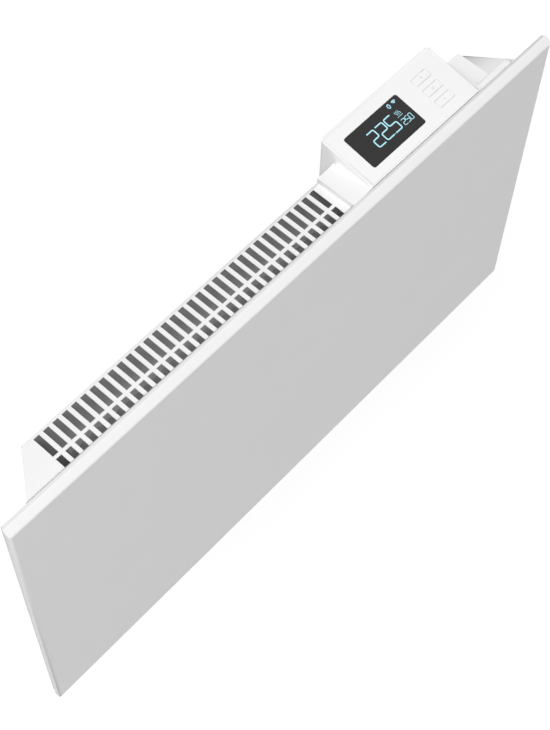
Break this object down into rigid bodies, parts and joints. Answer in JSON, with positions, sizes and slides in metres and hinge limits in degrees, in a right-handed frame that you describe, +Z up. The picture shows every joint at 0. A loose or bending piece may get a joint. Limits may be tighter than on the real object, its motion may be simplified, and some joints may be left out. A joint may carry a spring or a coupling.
{
  "type": "wall panel convector heater",
  "caption": "Flat wall panel heater: folded front panel, slotted casing behind it, tilted control unit with display and sprung buttons, hung on a hooked wall bracket.",
  "frame": {"origin": "centre of the four wall screw holes, on the wall plane", "axes": "+Z up, +Y into the wall, so the front panel faces -Y, +X to the right seen from the front"},
  "size_m": [0.66, 0.085, 0.383],
  "materials": {
    "panel_paint": "fine satin powder coat",
    "casing_paint": "satin powder coat",
    "zinc_steel": "zinc-coated sheet",
    "bracket_steel": "zinc-coated sheet",
    "screw_steel": "zinc-plated",
    "element_aluminium": "mill finish",
    "shield_aluminium": "bright sheet",
    "ceramic": "dry ceramic",
    "housing_white": "fine satin moulding",
    "fascia_white": "smooth satin",
    "button_white": "smooth satin",
    "window_black": "smooth clear-coated black",
    "module_grey": "moulded",
    "board_green": "solder resist",
    "shield_can": "tinned",
    "part_black": "moulded",
    "winding_tape": "tape",
    "connector_cream": "moulded",
    "ribbon_grey": "flat cable",
    "wire_black": "sleeved wire",
    "rubber_black": "moulded",
    "brass": "plain"
  },
  "bodies": {
    "bracket": {"wall_bracket": "bracket_steel", "bracket_pads": "rubber_black"},
    "heater": {"front_panel": "panel_paint", "rear_casing": "casing_paint", "panel_rails": "zinc_steel", "inner_plate": "zinc_steel", "element_brackets": "zinc_steel", "cutout_bracket": "zinc_steel", "panel_screws": "screw_steel", "casing_screws": "screw_steel", "element_screws": "screw_steel", "control_board_screws": "screw_steel", "power_board_screws": "screw_steel", "cover_screws": "screw_steel", "unit_screws": "screw_steel", "heating_element": "element_aluminium", "heat_shield": "shield_aluminium", "element_caps": "ceramic", "thermal_cutout": "ceramic", "control_housing": "housing_white", "housing_cover": "housing_white", "fascia": "fascia_white", "display_window": "window_black", "display_module": "module_grey", "tact_switches": "module_grey", "control_board": "board_green", "power_board": "board_green", "wireless_module": "shield_can", "relay": "part_black", "capacitor": "part_black", "cable_gland": "part_black", "gland_nut": "part_black", "transformer": "winding_tape", "lead_connector": "connector_cream", "terminal_block": "connector_cream", "room_sensor": "connector_cream", "ribbon_cable": "ribbon_grey", "mains_lead": "wire_black", "element_lead": "wire_black", "wire_grommets": "rubber_black", "earth_screw": "brass"},
    "key_plus": {"button_plus": "button_white", "plunger_plus": "part_black"},
    "key_menu": {"button_menu": "button_white", "plunger_menu": "part_black"},
    "key_minus": {"button_minus": "button_white", "plunger_minus": "part_black"}
  },
  "joints": [
    {"name": "heater_lift", "type": "slide", "parent": "bracket", "child": "heater", "axis": [0, 0, 1], "range_m": [0, 0.012]},
    {"name": "plus_press", "type": "slide", "parent": "heater", "child": "key_plus", "axis": [0, 0.1908, -0.9816], "range_m": [0, 0.0005], "stiffness_N_per_m": 2000},
    {"name": "menu_press", "type": "slide", "parent": "heater", "child": "key_menu", "axis": [0, 0.1908, -0.9816], "range_m": [0, 0.0005], "stiffness_N_per_m": 2000},
    {"name": "minus_press", "type": "slide", "parent": "heater", "child": "key_minus", "axis": [0, 0.1908, -0.9816], "range_m": [0, 0.0005], "stiffness_N_per_m": 2000}
  ]
}
